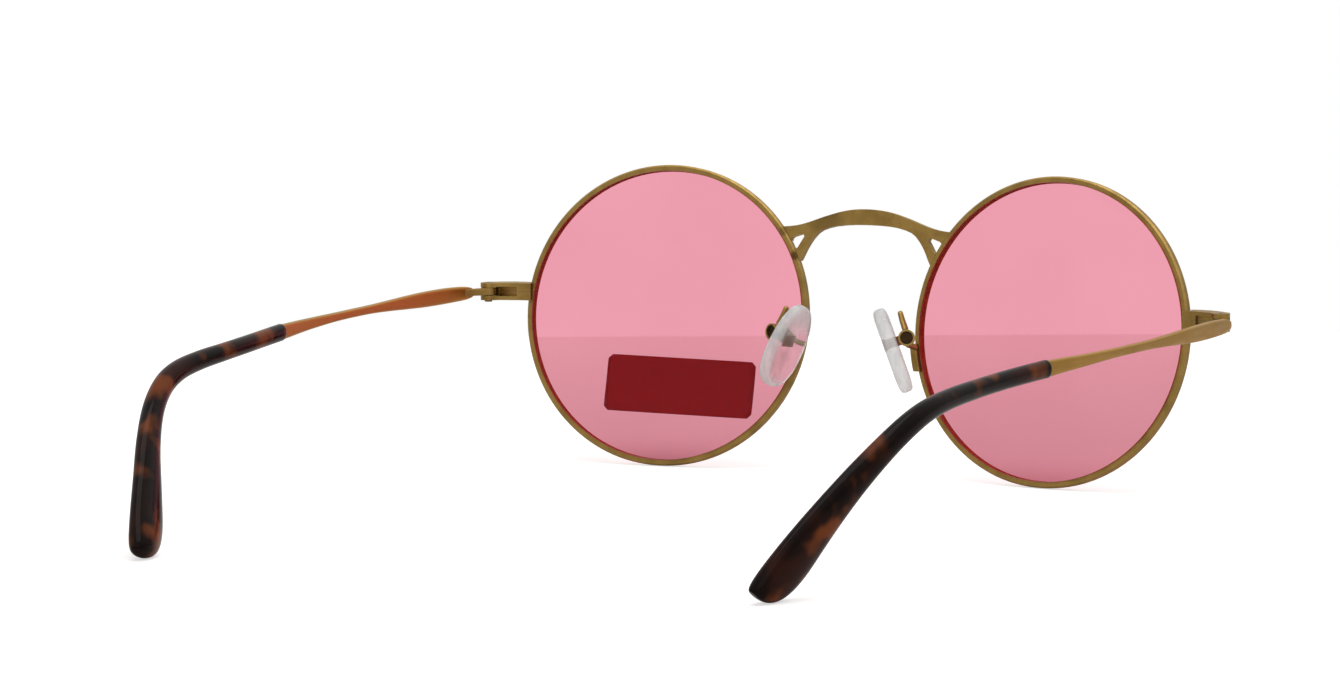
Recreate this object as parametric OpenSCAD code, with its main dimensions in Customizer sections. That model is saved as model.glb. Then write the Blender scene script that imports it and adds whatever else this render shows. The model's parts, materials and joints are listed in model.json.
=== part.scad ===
// Round wire-rimmed sunglasses with flat lenses, a pierced bridge, screwed nose pads and
// folding temples. Stands as it rests on a table: rim bottoms and temple tips at z = 0,
// front towards -Y, temples running back along +Y, wearer's left on +X.

/* [Lenses and rims] */
// lens diameter with its bevel
lens_d = 50.5; // [47:0.5:53]
// gap between the two lenses at the nose
lens_gap = 21.3; // [18:0.1:23]
// outward turn of each lens round the vertical
wrap_deg = 6; // [0:0.1:8]
// forward lean of the front when the temples are level
lean_deg = 7.6; // [5:0.1:10]
// width of the rim wire seen from behind
rim_w = 1; // [0.8:0.05:1.4]
// depth of the rim wire from front to back
rim_t = 1.5; // [1.3:0.05:2]
// height of the bevel that holds the lens in its groove
bevel_h = 0.35; // [0.25:0.05:0.5]
// lens thickness
lens_t = 2; // [1.4:0.1:2.4]
// radius of the lens's curved front
lens_curve_r = 130; // [90:5:200]

/* [Lens label] */
// length of the blank paper label on the left lens
label_l = 27.6; // [20:0.2:30]
// height of the label
label_h = 9.8; // [6:0.1:11]
// thickness of the label
label_t = 0.12; // [0.1:0.01:0.2]
// distance of the label's middle below the lens centre
label_down = 12.1; // [8:0.1:14]
// distance of the label's middle from the lens centre towards the nose
label_in = 2.3; // [-3:0.1:4]
// turn of the label in the lens's plane
label_turn = 0.5; // [-3:0.1:3]

/* [Bridge] */
// height of the bridge bar at its middle
bridge_h = 2.65; // [2:0.05:3.4]
// rise from the foot of a leg to the top of the arch
bridge_rise = 9.2; // [8.2:0.1:11]
// thickness of the bridge plate
bridge_t = 1.3; // [1:0.05:1.8]

/* [Hinges and end pieces] */
// distance from the rim out to the hinge axis
hinge_out = 6.4; // [5.8:0.1:8]
// distance of the hinge axis behind the lens plane
hinge_back = 5.4; // [5:0.1:6.5]
// height of the hinge above the lens centre
hinge_up = 3.4; // [1:0.05:6]
// outer diameter of the hinge barrel
barrel_d = 2.7; // [2.6:0.05:3.2]
// height of the end piece and of the whole barrel
end_h = 3; // [2.8:0.05:3.6]
// height of the temple's own knuckle
knuckle_h = 1.2; // [1:0.05:1.4]
// shank diameter of the hinge screw
screw_d = 1.3; // [1.1:0.05:1.4]
// radial clearance where the temple turns on its screw
turn_gap = 0.04; // [0.02:0.01:0.08]
// shank diameter of the screw that closes the rim
rim_screw_d = 1.1; // [0.9:0.05:1.2]

/* [Temples] */
// distance from the front of the temple to the end of its tip
temple_run = 132.7; // [120:0.1:145]
// distance that the tip end curves in towards the head
tip_inset = 18.5; // [10:0.1:22]
// tallest part of the temple blade
blade_h = 2.74; // [2.2:0.02:3.4]
// thickness of the temple blade
blade_t = 1.15; // [0.9:0.05:1.4]
// height of the core wire inside the tip
core_h = 1.2; // [0.9:0.05:1.4]
// thickness of the core wire inside the tip
core_t = 0.9; // [0.7:0.05:1]

/* [Temple tips] */
// widest part of the tip's paddle end
tip_w = 8.9; // [7:0.1:10]
// thickest part of the tip
tip_t = 3.8; // [3:0.1:4.4]
// clearance round the core wire
core_gap = 0.03; // [0.02:0.01:0.08]

/* [Nose pads] */
// length of a nose pad
pad_l = 14.8; // [12:0.1:16]
// width of a nose pad
pad_w = 7.2; // [6:0.1:8.5]
// thickness of a nose pad
pad_t = 2.5; // [1.8:0.1:2.8]
// turn of the pad that opens it towards the face
pad_splay = 23; // [15:1:32]
// outward slope of the pad towards its lower end
pad_flare = 23; // [12:0.5:28]
// forward turn of the pad in its own plane
pad_tip = 6.5; // [0:0.5:15]
// half the distance between the middles of the two pads
pad_out = 9.95; // [8.5:0.1:11]
// distance of the pad's middle behind the lens plane
pad_back = 5.9; // [4.9:0.1:7]
// distance of the pad's middle below the lens centre
pad_down = 4.4; // [2:0.05:6]
// diameter of the wire that carries the pad
arm_d = 0.85; // [0.7:0.05:1.1]
// outer diameter of the round box that holds the pad's tab
box_d = 2.8; // [2.4:0.05:3.1]
// shank diameter of the pad screw
pad_screw_d = 0.8; // [0.7:0.05:0.9]

/* [Hidden] */

gold = [0.66, 0.52, 0.3];
pink = [0.93, 0.6, 0.68, 0.6];
tortoise = [0.2, 0.1, 0.07];
clear = [0.88, 0.88, 0.88, 0.6];
label_red = [0.5, 0.1, 0.12];

// rims and lenses
rim_ri = lens_d / 2 - bevel_h;
rim_ro = rim_ri + rim_w;
eye_x = (lens_d + lens_gap) / 2;
rim_edge = 0.25;
groove_w = 0.9;
seat_gap = 0.02;
split_h = 0.05;
split_reach = 10;
// sides of round forms
ring_n = 160;
dome_n = 200;
barrel_n = 48;
box_n = 40;
screw_n = 32;
wire_n = 24;
// cuts reach this far past the piece that they cut
past = 1;
far_past = 5;
// gaps round a screw in its thread and round a sunk head
thread_gap = 0.01;
sunk_gap = 0.02;
lean_s = sin(lean_deg);
lean_c = cos(lean_deg);
// lowest corner of the leaning rim, which sets the height of everything
rim_low = max((rim_ro - rim_edge) * lean_c + rim_t / 2 * lean_s,
    rim_ro * lean_c + (rim_t / 2 - rim_edge) * lean_s);
lift = rim_low;

// where the nose side of a rim is at a height z, in the plane of the front
function rim_nose_x(z) = eye_x - sqrt(rim_ro * rim_ro - z * z) * cos(wrap_deg);
function rim_y(r, z) = -sqrt(r * r - z * z) * sin(wrap_deg);

// bridge
leg_z = 0.398 * rim_ro;
arch_z = leg_z + bridge_rise;
bridge_x = rim_nose_x(leg_z);
bridge_y = rim_y(rim_ro, 0.55 * rim_ro) - 0.4;
bar_v = 1 - bridge_h / bridge_rise;
bridge_top = [[0, 1], [0.11, 0.997], [0.22, 0.984], [0.33, 0.96], [0.44, 0.925], [0.55, 0.882],
    [0.66, 0.835], [0.77, 0.782], [0.88, 0.73], [0.98, 0.69], [1.08, 0.66], [1.18, 0.642],
    [1.3, 0.63], [1.46, 0.63]];
bridge_low = [[1.12, -0.1], [0.99, 0.02], [0.96, 0.1], [0.92, 0.215], [0.872, 0.33],
    [0.82, 0.43], [0.755, bar_v - 0.185], [0.69, bar_v - 0.125], [0.6, bar_v - 0.08],
    [0.48, bar_v - 0.042], [0.34, bar_v - 0.018], [0.18, bar_v - 0.004], [0, bar_v]];
window = [[0.945, 0.455], [0.955, 0.495], [0.99, 0.505], [1.125, 0.445], [1.155, 0.405],
    [1.15, 0.355], [1.1, 0.24], [1.075, 0.222], [1.04, 0.25]];

// hinges
hinge_x = eye_x + rim_ro + hinge_out;
hinge_z = hinge_up;
barrel_r = barrel_d / 2;
slot_h = knuckle_h + 0.2;
slot_r = barrel_r + 1.6;
knuckle_room = 0.1;
leaf_front = 1.1;
pocket_front = 1.9;
pocket_h = 1.7;
pocket_near = barrel_r + 0.3;
pocket_l = 3.3;
half_gap = 0.02;
head_h = 0.45;
head_d = barrel_d - 0.7;
rim_screw_x = eye_x + rim_ro + 1.95;
rim_screw_y = rim_ro * sin(wrap_deg) * lean_c - hinge_z * lean_s + 0.35;
rim_head_d = 1.8;
rim_head_h = 0.4;
thread_stop = 0.35;
point_gap = 0.1;
driver_l = 4;
rim_slot_w = 0.24;
rim_slot_deep = 0.2;
hinge_slot_w = 0.28;
hinge_slot_deep = 0.22;
pad_slot_w = 0.26;

// temple route: share of the run, share of the inset, share of the drop
route = [[0, [0, 0.004]], [0.05, [-0.026, 0.003]], [0.129, [-0.038, 0.005]],
    [0.205, [-0.03, 0.006]], [0.281, [-0.01, 0.009]], [0.357, [0.023, 0.015]],
    [0.433, [0.072, 0.024]], [0.5, [0.135, 0.034]], [0.55, [0.184, 0.044]],
    [0.61, [0.236, 0.059]], [0.67, [0.27, 0.076]], [0.73, [0.293, 0.097]],
    [0.78, [0.315, 0.131]], [0.82, [0.355, 0.192]], [0.86, [0.44, 0.3]],
    [0.9, [0.575, 0.458]], [0.94, [0.745, 0.663]], [1, [1, 1]]];
// blade sizes: share of the run, share of blade_h, share of blade_t
blade_size = [[0, [0.22, 0.7]], [0.0012, [0.38, 0.9]], [0.004, [0.56, 1]], [0.008, [0.68, 1]],
    [0.015, [0.79, 1]], [0.0226, [0.86, 1]], [0.032, [0.9, 1]], [0.05, [0.95, 1]],
    [0.078, [0.99, 1]], [0.121, [0.96, 1]],
    [0.167, [0.825, 1]], [0.212, [0.66, 1.02]], [0.258, [0.54, 1.05]], [0.304, [0.515, 1.08]],
    [0.349, [0.525, 1.08]], [0.395, [0.605, 1.05]], [0.441, [0.72, 1]], [0.487, [0.85, 1]],
    [0.51, [0.92, 1]]];
// tip sizes: share of the run, share of tip_w, share of tip_t
tip_size = [[0.51, [0.318, 0.58]], [0.625, [0.322, 0.64]], [0.717, [0.345, 0.68]],
    [0.763, [0.368, 0.72]], [0.794, [0.4, 0.75]], [0.826, [0.437, 0.78]],
    [0.851, [0.465, 0.81]], [0.876, [0.52, 0.84]], [0.902, [0.61, 0.87]],
    [0.928, [0.74, 0.91]], [0.946, [0.84, 0.94]], [0.964, [0.93, 0.98]], [0.98, [0.985, 1]],
    [1, [1, 1]]];
joint_a = 0.51;
core_end_a = 0.86;
round_a = 0.98;
slant_a = 0.952;
slant_skew = 0.8;
blade_out = 2.1;
blade_back = 1.9;
leaf_gap = 0.012;
tip_front_edge = 0.15;

function seg(tab, t, i = 0) = (i >= len(tab) - 2 || t < tab[i + 1][0]) ? i : seg(tab, t, i + 1);
function slope(tab, i) = let (a = tab[max(i - 1, 0)], b = tab[min(i + 1, len(tab) - 1)])
    (b[1] - a[1]) / (b[0] - a[0]);
function smooth(tab, t) = let (i = seg(tab, t), a = tab[i], b = tab[i + 1], h = b[0] - a[0],
    u = (t - a[0]) / h)
    a[1] * (2 * u * u * u - 3 * u * u + 1) + slope(tab, i) * h * (u * u * u - 2 * u * u + u)
    + b[1] * (3 * u * u - 2 * u * u * u) + slope(tab, i + 1) * h * (u * u * u - u * u);
function straight(tab, t) = let (i = seg(tab, t), a = tab[i], b = tab[i + 1])
    a[1] + (b[1] - a[1]) * (t - a[0]) / (b[0] - a[0]);
function unit(v) = v / norm(v);
function spow(c, e) = (c < 0 ? -1 : 1) * pow(abs(c), e);

// a ring of n points round the route at share a, h tall, t thick, corner power e, raised by rise
function spot(a, drop) = let (b = smooth(route, a)) [hinge_x + blade_out - tip_inset * b[0],
    hinge_back + blade_back + temple_run * a, hinge_z + lift - drop * b[1]];
function ring(a, h, t, n, e, drop, rise = 0) = let (p = spot(a, drop),
    d = unit(spot(min(a + 0.002, 1), drop) - spot(max(a - 0.002, 0), drop)),
    up = unit([0, -d[2], d[1]]), out = cross(d, up))
    [for (k = [0 : n - 1]) p + up * rise + out * (t / 2 * spow(cos(360 * k / n), e))
        + up * (h / 2 * spow(sin(360 * k / n), e))];
function blade_ring(a, drop) = let (q = smooth(blade_size, a))
    ring(a, blade_h * q[0], blade_t * q[1], 16, 0.55, drop);
function core_ring(a, gap, drop) = ring(a, core_h + 2 * gap, core_t + 2 * gap, 16, 0.8, drop);
function fade(a, from, e) = let (u = max(0, min(1, (a - from) / (1 - from))))
    max(0.03, pow(max(0, 1 - pow(u, e)), 1 / e));
function tip_ring(a, drop, trim = 0) = let (q = straight(tip_size, a), k = fade(a, slant_a, 2.4))
    ring(a, (tip_w * q[0] - trim) * k, (tip_t * q[1] - trim) * fade(a, round_a, 3), 16, 0.95, drop,
        slant_skew * tip_w * q[0] / 2 * (1 - k));

blade_as = [0, 0.0007, 0.0015, 0.003, 0.006, 0.01, 0.016, 0.026, 0.04, 0.06, 0.08, 0.1, 0.13, 0.16,
    0.18, 0.2, 0.22, 0.24, 0.26, 0.29, 0.32, 0.35, 0.38, 0.41, 0.44, 0.47, 0.49, 0.51];
core_as = [for (i = [0 : 17]) joint_a + (core_end_a - joint_a) * i / 17];
tip_as = concat(core_as, [for (i = [1 : 6]) core_end_a + (slant_a - core_end_a) * i / 6],
    [for (i = [1 : 12]) slant_a + (1 - slant_a) * sin(7.5 * i)]);

// the drop that brings the tip down to the surface the rims stand on
function lowest(rings) = min([for (r = rings) min([for (p = r) p[2]])]);
function furthest(rings) = max([for (r = rings) max([for (p = r) p[1]])]);
drop_guess = hinge_z + lift - 1.2;
drop_next = drop_guess + lowest([for (a = tip_as) tip_ring(a, drop_guess)]);
drop = drop_next + lowest([for (a = tip_as) tip_ring(a, drop_next)]);

// the part is centred front to back between the bridge and the tip ends
front_y = -((bridge_t / 2 - bridge_y) * lean_c + arch_z * lean_s);
back_y = furthest([for (a = tip_as) tip_ring(a, drop)]);
shift_y = -(front_y + back_y) / 2;

// nose pads
pad_screw_up = 1.2;
pad_screw_back = 0.55;
box_r = box_d / 2;
pad_room = 0.25;
pad_stand = pad_t / 2 + pad_room + box_r;
box_l = 2.4;
box_wall = 0.3;
box_deep = 0.65;
tab_t = 0.9;
tab_r = 0.8;
tab_room = 0.12;
tab_root = 1.2;
insert_gap = 0.02;
box_reach = 3;
box_half = 2;
pad_head_h = 0.35;
pad_slot_floor = 0.17;
slot_t = tab_t + 0.1;
pad_turn = [0, -pad_flare, -pad_splay];

// a vector in pad axes turned into the axes of the front
function pad_vec(v) = let (x = v[0] * cos(pad_flare) - v[2] * sin(pad_flare),
    z = v[0] * sin(pad_flare) + v[2] * cos(pad_flare))
    [x * cos(pad_splay) + v[1] * sin(pad_splay), -x * sin(pad_splay) + v[1] * cos(pad_splay), z];
pad_mid = [pad_out, pad_back, -pad_down];
box_mid = pad_mid + pad_vec([pad_stand, pad_screw_back, pad_screw_up]);
box_top = box_mid + pad_vec([0.15, 0, box_r - 0.02]);
foot_z = -0.19 * rim_ro;
foot_t = 0.9;
foot_h = 4.7;
foot_over = 0.45;
foot_in = 0.25;
foot_drop = 0.3;
foot_reach = 4;
foot_r = rim_ro - 0.35;
foot_x = eye_x - sqrt(foot_r * foot_r - foot_z * foot_z) * cos(wrap_deg);
foot_y = rim_y(foot_r, foot_z) + (rim_t / 2 + foot_t) * cos(wrap_deg);
arm_top = [box_mid[0] - 1.55, box_mid[1] - 0.25, box_mid[2] + 4.1];
arm_start = [foot_x - 0.1, foot_y - 0.35, foot_z + 1.3];
arm_route = [[0, arm_start],
    [1, arm_start + [-0.08, 1.3, 0.15]],
    [2, arm_start + [-0.25, 3.5, 0.6]],
    [3, [arm_top[0] + 0.7, arm_top[1] - 1.4, arm_top[2] - 3.1]],
    [4, [arm_top[0] + 0.3, arm_top[1] - 0.5, arm_top[2] - 1.2]],
    [5, arm_top],
    [6, [arm_top[0] + 0.45, arm_top[1] + 0.2, arm_top[2] - 1.2]],
    [7, box_top]];
arm_n = 12;
arm_steps = 35;
arm_end = 7;
function arm_ring(t) = let (p = smooth(arm_route, t),
    d = unit(smooth(arm_route, min(t + 0.02, arm_end)) - smooth(arm_route, max(t - 0.02, 0))),
    side = unit(cross(d, [1, 0.2, 0.1])), up = cross(side, d))
    [for (k = [0 : arm_n - 1]) p + arm_d / 2 * (side * cos(360 * k / arm_n)
        + up * sin(360 * k / arm_n))];

// pad outline: egg shaped, with soft edges and a slightly domed nose side
pad_n = 28;
function pad_ring(x, k) = [for (i = [0 : pad_n - 1]) let (c = cos(360 * i / pad_n),
    s = sin(360 * i / pad_n))
    [x, k * pad_w / 2 * spow(c, 0.85) * (1 - 0.1 * s), (pad_l / 2 - pad_w / 2 * (1 - k)) * spow(s, 0.9)]];
pad_rings = [for (q = [[-0.5, 0.6], [-0.47, 0.8], [-0.4, 0.9], [-0.25, 0.98], [0, 1],
    [0.25, 0.98], [0.4, 0.92], [0.5, 0.78]]) pad_ring(pad_t * q[0], q[1])];

// helpers
module tube(rings) {
    n = len(rings[0]);
    m = len(rings);
    polyhedron(points = [for (r = rings) for (p = r) p], faces = concat(
        [[for (k = [0 : n - 1]) k]],
        [for (j = [0 : m - 2]) for (k = [0 : n - 1])
            [j * n + k, (j + 1) * n + k, (j + 1) * n + (k + 1) % n, j * n + (k + 1) % n]],
        [[for (k = [n - 1 : -1 : 0]) (m - 1) * n + k]]), convexity = 8);
}

module sleeve(rings, inner) {
    n = len(rings[0]);
    m = len(rings);
    q = len(inner);
    b = n * m;
    polyhedron(points = [for (r = concat(rings, inner)) for (p = r) p], faces = concat(
        [for (k = [0 : n - 1]) [k, (k + 1) % n, b + (k + 1) % n, b + k]],
        [for (j = [0 : m - 2]) for (k = [0 : n - 1])
            [j * n + k, (j + 1) * n + k, (j + 1) * n + (k + 1) % n, j * n + (k + 1) % n]],
        [[for (k = [n - 1 : -1 : 0]) (m - 1) * n + k]],
        [for (j = [0 : q - 2]) for (k = [0 : n - 1])
            [b + j * n + k, b + j * n + (k + 1) % n, b + (j + 1) * n + (k + 1) % n, b + (j + 1) * n + k]],
        [[for (k = [0 : n - 1]) b + (q - 1) * n + k]]), convexity = 8);
}

module centred() translate([0, shift_y, 0]) children();

module front() centred() translate([0, 0, lift]) rotate([lean_deg, 0, 0]) children();

module eye() translate([eye_x, 0, 0]) rotate([0, 0, wrap_deg]) children();

module other() mirror([1, 0, 0]) children();

// rim: a grooved ring, split behind the end piece
module rim_ring() {
    h = rim_t / 2;
    g = groove_w / 2 + seat_gap;
    rotate([90, 0, 0])
        rotate_extrude($fn = ring_n)
            polygon([[rim_ri, -h], [rim_ro - rim_edge, -h], [rim_ro, rim_edge - h],
                [rim_ro, h - rim_edge], [rim_ro - rim_edge, h], [rim_ri, h],
                [rim_ri, g], [rim_ri + bevel_h + seat_gap, 0], [rim_ri, -g]]);
}

module rim() {
    color(gold) front() difference() {
        eye() rim_ring();
        translate([eye_x + rim_ri - 2, -3, hinge_z - split_h / 2])
            cube([rim_w + 4, split_reach, split_h]);
    }
}

// lens: a thin shell with a bevelled edge
function sag(r) = sqrt(lens_curve_r * lens_curve_r - r * r);
lens_r = rim_ri - seat_gap;
edge_z = lens_t / 2 - sag(lens_r);
lens_steps = 9;
label_corner = 1;
paper_gap = 0.005;

module lens_solid() {
    rotate([90, 0, 0])
        rotate_extrude($fn = ring_n)
            polygon(concat(
                [for (i = [0 : lens_steps]) let (r = lens_r * i / lens_steps) [r, sag(r) + edge_z]],
                [[lens_r, groove_w / 2], [lens_d / 2, 0], [lens_r, -groove_w / 2]],
                [for (i = [lens_steps : -1 : 0]) let (r = lens_r * i / lens_steps)
                    [r, sag(r) + edge_z - lens_t]]));
}

module lens() color(pink) front() eye() lens_solid();

// label: a thin curved rectangle stuck on the front of the left lens
module lens_label() {
    color(label_red) front() eye() rotate([90, 0, 0])
        intersection() {
            difference() {
                translate([0, 0, edge_z]) sphere(r = lens_curve_r + label_t + paper_gap, $fn = dome_n);
                translate([0, 0, edge_z]) sphere(r = lens_curve_r + paper_gap, $fn = dome_n);
            }
            translate([-label_in, -label_down, 0]) rotate([0, 0, label_turn])
                linear_extrude(height = 4 * far_past)
                    polygon(soft_box(label_l, label_h, label_corner));
        }
}

function soft_box(w, h, r) = [for (q = [[1, 1, 0], [-1, 1, 90], [-1, -1, 180], [1, -1, 270]])
    for (i = [0 : 4]) [q[0] * (w / 2 - r) + r * cos(q[2] + 22.5 * i),
        q[1] * (h / 2 - r) + r * sin(q[2] + 22.5 * i)]];

// bridge: a pressed plate with a bar and two pierced legs, brazed to both rims
function bridge_spot(q) = [q[0] * bridge_x, leg_z + q[1] * bridge_rise];
cut_deep = 6 * bridge_t;

module bridge_plate() {
    top = [for (q = bridge_top) bridge_spot(q)];
    low = [for (q = bridge_low) bridge_spot(q)];
    gap = [for (q = window) bridge_spot(q)];
    difference() {
        translate([0, bridge_y + bridge_t / 2, 0]) rotate([90, 0, 0])
            linear_extrude(height = bridge_t)
                polygon(concat([for (i = [len(top) - 1 : -1 : 1]) [-top[i][0], top[i][1]]], top, low,
                    [for (i = [len(low) - 2 : -1 : 0]) [-low[i][0], low[i][1]]]));
        for (s = [0, 1]) mirror([s, 0, 0])
            translate([0, bridge_y + cut_deep / 2, 0]) rotate([90, 0, 0])
                linear_extrude(height = cut_deep) polygon(gap);
        for (s = [0, 1]) mirror([s, 0, 0])
            eye() rotate([90, 0, 0]) cylinder(r = rim_ro, h = 2 * cut_deep, center = true, $fn = ring_n);
    }
}

module bridge() color(gold) front() bridge_plate();

// end piece: two halves that clamp the split rim and carry the outer knuckles
rim_out_x = eye_x + rim_ro * cos(wrap_deg);
rim_out_y = rim_ro * sin(wrap_deg) * lean_c - hinge_z * lean_s;
end_plan = [[rim_out_x - 0.1, rim_out_y - 1], [rim_out_x + 1.2, rim_out_y - 1.15],
    [rim_out_x + 3.2, rim_out_y - 0.9], [hinge_x - 1.6, rim_out_y - 0.1],
    [hinge_x, hinge_back - barrel_r - 0.75], [hinge_x + 1, hinge_back - barrel_r - 0.1],
    [hinge_x + barrel_r, hinge_back - 0.4], [hinge_x, hinge_back],
    [hinge_x - 0.8, hinge_back + 1], [hinge_x - 2.2, hinge_back - 0.3],
    [hinge_x - 4.1, hinge_back - 0.9], [rim_out_x + 1.2, rim_out_y + 1.75],
    [rim_out_x - 0.9, rim_out_y + 1.55], [rim_out_x - 0.9, rim_out_y + 0.5],
    [rim_out_x - 0.1, rim_out_y + 0.5]];

module end_body(up) {
    z0 = up ? half_gap : -end_h / 2;
    h = end_h / 2 - half_gap;
    difference() {
        translate([0, 0, lift + hinge_z + z0]) union() {
            linear_extrude(height = h) polygon(end_plan);
            translate([hinge_x, hinge_back, 0]) cylinder(r = barrel_r, h = h, $fn = barrel_n);
        }
        // slot for the temple's knuckle and leaf, and a pocket beside it
        translate([hinge_x, hinge_back, lift + hinge_z - slot_h / 2])
            cylinder(r = barrel_r + knuckle_room, h = slot_h, $fn = barrel_n);
        intersection() {
            translate([hinge_x, hinge_back, lift + hinge_z - slot_h / 2])
                cylinder(r = slot_r, h = slot_h, $fn = barrel_n);
            translate([hinge_x - slot_r, hinge_back - leaf_front, lift])
                cube([2 * slot_r, 2 * slot_r, hinge_z + end_h]);
        }
        translate([hinge_x - pocket_near - pocket_l, hinge_back - pocket_front,
            lift + hinge_z - pocket_h / 2]) cube([pocket_l, 2 * slot_r, pocket_h]);
        // bore for the hinge screw, with a seat for its head at the top
        translate([hinge_x, hinge_back, lift + hinge_z - far_past])
            cylinder(d = screw_d + 2 * thread_gap, h = 2 * far_past, $fn = screw_n);
        translate([hinge_x, hinge_back, lift + hinge_z + end_h / 2 - head_h])
            cylinder(d = head_d + 2 * sunk_gap, h = head_h + past, $fn = screw_n);
        // bore for the rim screw, with a seat for its head underneath
        translate([rim_screw_x, rim_screw_y, lift + hinge_z - far_past])
            cylinder(d = rim_screw_d + 2 * thread_gap, h = far_past + end_h / 2 - thread_stop,
                $fn = screw_n);
        translate([rim_screw_x, rim_screw_y, lift + hinge_z - end_h / 2 - past])
            cylinder(d = rim_head_d + 2 * sunk_gap, h = past + rim_head_h, $fn = screw_n);
        // seat round the back and the outside of the rim
        translate([0, 0, lift]) rotate([lean_deg, 0, 0]) eye() rotate([90, 0, 0])
            cylinder(r = rim_ro, h = rim_t, center = true, $fn = ring_n);
        translate([0, 0, lift]) rotate([lean_deg, 0, 0]) eye() rotate([90, 0, 0])
            cylinder(r = rim_ri, h = 6 * far_past, center = true, $fn = ring_n);
    }
}

module end_upper() color(gold) centred() end_body(true);

module end_lower() color(gold) centred() end_body(false);

module rim_screw() {
    z0 = lift + hinge_z - end_h / 2;
    color(gold) centred() translate([rim_screw_x, rim_screw_y, 0]) difference() {
        union() {
            translate([0, 0, z0]) cylinder(d = rim_head_d, h = rim_head_h, $fn = screw_n);
            translate([0, 0, z0])
                cylinder(d = rim_screw_d, h = end_h - thread_stop - point_gap, $fn = screw_n);
        }
        translate([-rim_slot_w / 2, -driver_l / 2, z0 - past])
            cube([rim_slot_w, driver_l, past + rim_slot_deep]);
    }
}

module hinge_screw() {
    z1 = lift + hinge_z + end_h / 2;
    color(gold) centred() translate([hinge_x, hinge_back, 0]) difference() {
        union() {
            translate([0, 0, z1 - head_h]) cylinder(d = head_d, h = head_h, $fn = screw_n);
            translate([0, 0, z1 - end_h - 0.3]) cylinder(d = screw_d, h = end_h + 0.1, $fn = screw_n);
        }
        translate([-hinge_slot_w / 2, -driver_l / 2, z1 - hinge_slot_deep])
            cube([hinge_slot_w, driver_l, past]);
    }
}

// hinge leaf: the middle knuckle and the tongue brazed inside the temple blade
function blade_in_x(a) = spot(a, drop)[0] - blade_t * smooth(blade_size, a)[1] / 2 - leaf_gap;
function blade_y(a) = spot(a, drop)[1];

module hinge_leaf() {
    z0 = lift + hinge_z - knuckle_h / 2;
    color(gold) centred() difference() {
        translate([0, 0, z0]) union() {
            cylinder_at(hinge_x, hinge_back, barrel_r, knuckle_h);
            linear_extrude(height = knuckle_h)
                polygon([[hinge_x + 0.85, hinge_back + 0.9],
                    [blade_in_x(0.003) - 0.1, blade_y(0.003) - 0.35],
                    [blade_in_x(0.008), blade_y(0.008)], [blade_in_x(0.024), blade_y(0.024)],
                    [blade_in_x(0.014) - 0.35, blade_y(0.014)],
                    [hinge_x - 0.1, hinge_back + 2], [hinge_x - 0.9, hinge_back + 0.95]]);
        }
        translate([hinge_x, hinge_back, z0 - past])
            cylinder(d = screw_d + 2 * turn_gap, h = knuckle_h + 2 * past, $fn = screw_n);
    }
}

module cylinder_at(x, y, r, h) translate([x, y, 0]) cylinder(r = r, h = h, $fn = barrel_n);

// temple: a waisted blade that carries on as the core wire of its tip
module temple() color(gold) centred()
    tube(concat([for (a = blade_as) blade_ring(a, drop)], [for (a = core_as) core_ring(a, 0, drop)]));

// tip: an acetate sleeve, bent down behind the ear, with a bore for the core wire
module tip() {
    inner = [for (a = core_as) core_ring(a, core_gap, drop)];
    last = core_ring(core_end_a + 0.0015, core_gap, drop);
    color(tortoise) centred() sleeve(concat([tip_ring(joint_a, drop, tip_front_edge * 2)],
        [tip_ring(joint_a + 0.0012, drop)],
        [for (i = [1 : len(tip_as) - 1]) tip_ring(tip_as[i], drop)]), concat(inner, [last]));
}

// pad foot: a strip brazed along the back of the rim
module pad_foot() color(gold) front() intersection() {
    eye() rotate([90, 0, 0]) translate([0, 0, -rim_t / 2 - foot_t]) difference() {
        cylinder(r = rim_ro + foot_over, h = foot_t, $fn = ring_n);
        translate([0, 0, -past]) cylinder(r = rim_ri + foot_in, h = foot_t + 2 * past, $fn = ring_n);
    }
    translate([foot_x - foot_reach, -2 * far_past, foot_z - foot_h / 2 - foot_drop])
        cube([2 * foot_reach, 4 * far_past, foot_h]);
}

// pad arm: a bent wire that stands on the back of its foot
module pad_arm() color(gold) front() difference() {
    tube([for (i = [0 : arm_steps]) arm_ring(arm_end * i / arm_steps)]);
    eye() rotate([90, 0, 0]) translate([0, 0, -rim_t / 2 - foot_t])
        cylinder(r = rim_ro + foot_reach, h = far_past, $fn = ring_n);
}

module at_box() translate(box_mid) rotate(pad_turn) children();

// pad box: a round box on the end of the arm, slotted for the pad's tab
module pad_box() color(gold) front() at_box() difference() {
    rotate([90, 0, 0]) cylinder(r = box_r, h = box_l, center = true, $fn = box_n);
    translate([-box_reach, -slot_t / 2, -box_half])
        cube([box_reach + tab_r + tab_room, slot_t, 2 * box_half]);
    rotate([90, 0, 0])
        cylinder(d = pad_screw_d + 2 * thread_gap, h = 2 * box_reach, center = true, $fn = wire_n);
    translate([0, box_l / 2 + past, 0]) rotate([90, 0, 0])
        cylinder(r = box_r - box_wall, h = past + box_deep, $fn = screw_n);
}

module pad_screw() color(gold) front() at_box() difference() {
    union() {
        translate([0, box_l / 2 - box_deep, 0]) rotate([90, 0, 0])
            cylinder(d = pad_screw_d, h = box_l - box_deep, $fn = wire_n);
        translate([0, box_l / 2 - box_deep + pad_head_h, 0]) rotate([90, 0, 0])
            cylinder(r = box_r - box_wall - 3 * sunk_gap, h = pad_head_h, $fn = screw_n);
    }
    translate([-box_half, box_l / 2 - box_deep + pad_slot_floor, -pad_slot_w / 2])
        cube([2 * box_half, past, pad_slot_w]);
}

// pad insert: a plate set in the pad, with a tab that turns on the pad screw
insert_h = 2;
insert_w = 2.2;
insert_t = 0.35;
plate_x = -pad_stand - 0.3 * pad_t;

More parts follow.
